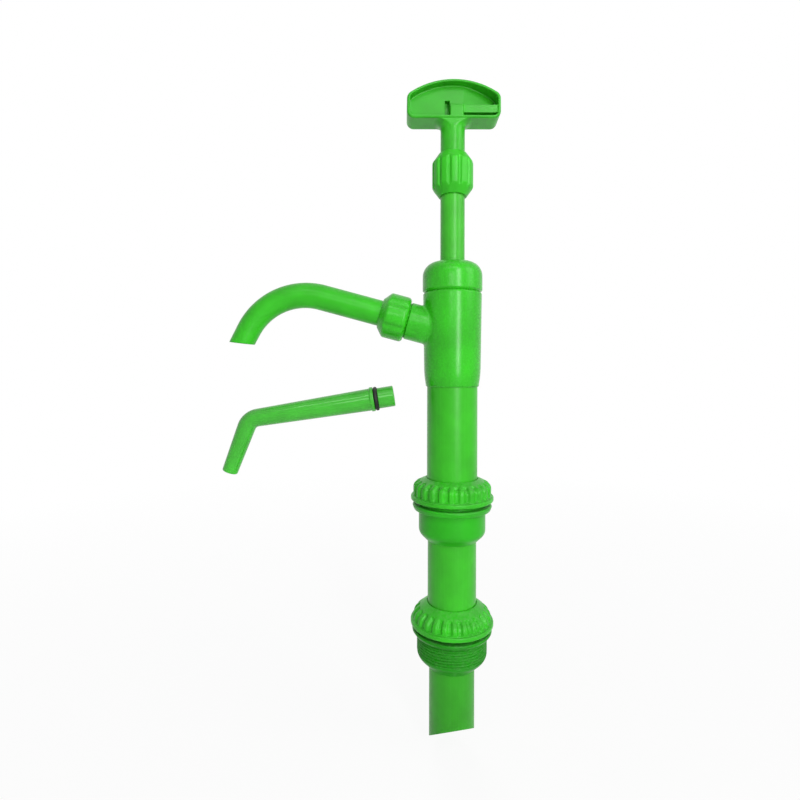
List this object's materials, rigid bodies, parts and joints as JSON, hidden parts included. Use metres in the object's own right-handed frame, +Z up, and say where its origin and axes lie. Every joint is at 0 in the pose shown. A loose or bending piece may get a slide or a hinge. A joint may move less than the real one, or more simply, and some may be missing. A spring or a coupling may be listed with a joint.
{
  "type": "drum pump",
  "caption": "Hand lift pump for drums: T handle and rod with a valved piston, head with a swivelling curved spout, ribbed unions, threaded bung adapter, suction tube and a loose angled nozzle.",
  "frame": {"origin": "on the pump's axis, on the face of the bung adapter that seats on the drum", "axes": "+Z up along the pump's axis toward the handle, -X the side the spout points to, -Y toward the viewer of the picture"},
  "size_m": [0.2367, 0.0704, 0.5702],
  "materials": {
    "green_plastic": "glossy injection-moulded polypropylene",
    "seal_rubber": "matt black seal rubber",
    "ball_steel": "polished ball",
    "bush_plastic": "plain white bearing plastic"
  },
  "bodies": {
    "barrel": {"pump_head": "green_plastic", "cylinder": "green_plastic", "gland_cap": "green_plastic", "rod_packing": "seal_rubber", "rod_bush": "bush_plastic", "union_socket": "green_plastic", "upper_union_gasket": "seal_rubber", "foot_valve_seat": "green_plastic", "foot_valve_cage": "green_plastic", "middle_tube": "green_plastic", "lower_union_gasket": "seal_rubber", "bung_adapter": "green_plastic", "suction_tube": "green_plastic"},
    "piston_seal": {"piston_ring": "seal_rubber"},
    "plunger": {"piston_rod": "green_plastic", "piston_head": "green_plastic", "piston_cage": "green_plastic", "handle_washer": "seal_rubber", "handle": "green_plastic"},
    "handle_nut": {"handle_nut": "green_plastic"},
    "piston_ball": {"piston_ball": "ball_steel"},
    "foot_ball": {"foot_valve_ball": "ball_steel"},
    "upper_nut": {"upper_union_nut": "green_plastic"},
    "lower_nut": {"lower_union_nut": "green_plastic"},
    "spout_nut": {"spout_nut": "green_plastic"},
    "spout": {"spout": "green_plastic", "spout_o_ring": "seal_rubber"},
    "nozzle": {"nozzle": "green_plastic", "nozzle_o_ring": "seal_rubber"}
  },
  "joints": [
    {"name": "pump_stroke", "type": "slide", "parent": "barrel", "child": "piston_seal", "axis": [0, 0, 1], "range_m": [-0.0559, 0.0514]},
    {"name": "rod_turn", "type": "hinge", "parent": "piston_seal", "child": "plunger", "pos_m": [0, 0, 0.17726], "axis": [0, 0, 1], "continuous": true},
    {"name": "handle_nut_turn", "type": "hinge", "parent": "plunger", "child": "handle_nut", "pos_m": [0, 0, 0.37216], "axis": [0, 0, 1], "continuous": true},
    {"name": "piston_ball_lift", "type": "slide", "parent": "plunger", "child": "piston_ball", "axis": [0, 0, 1], "range_m": [0, 0.006]},
    {"name": "foot_ball_lift", "type": "slide", "parent": "barrel", "child": "foot_ball", "axis": [0, 0, 1], "range_m": [0, 0.0044]},
    {"name": "upper_nut_turn", "type": "hinge", "parent": "barrel", "child": "upper_nut", "pos_m": [0, 0, 0.11296], "axis": [0, 0, 1], "continuous": true},
    {"name": "lower_nut_turn", "type": "hinge", "parent": "barrel", "child": "lower_nut", "pos_m": [0, 0, 0.0073], "axis": [0, 0, 1], "continuous": true},
    {"name": "spout_nut_turn", "type": "hinge", "parent": "barrel", "child": "spout_nut", "pos_m": [0, 0, 0.25546], "axis": [-0.9659, 0, 0.2588], "continuous": true},
    {"name": "spout_swivel", "type": "hinge", "parent": "barrel", "child": "spout", "pos_m": [0, 0, 0.25546], "axis": [-0.9659, 0, 0.2588], "continuous": true},
    {"name": "nozzle_shift", "type": "slide", "parent": "barrel", "child": "nozzle", "axis": [-1, 0, 0], "range_m": [0, 0.2]}
  ]
}
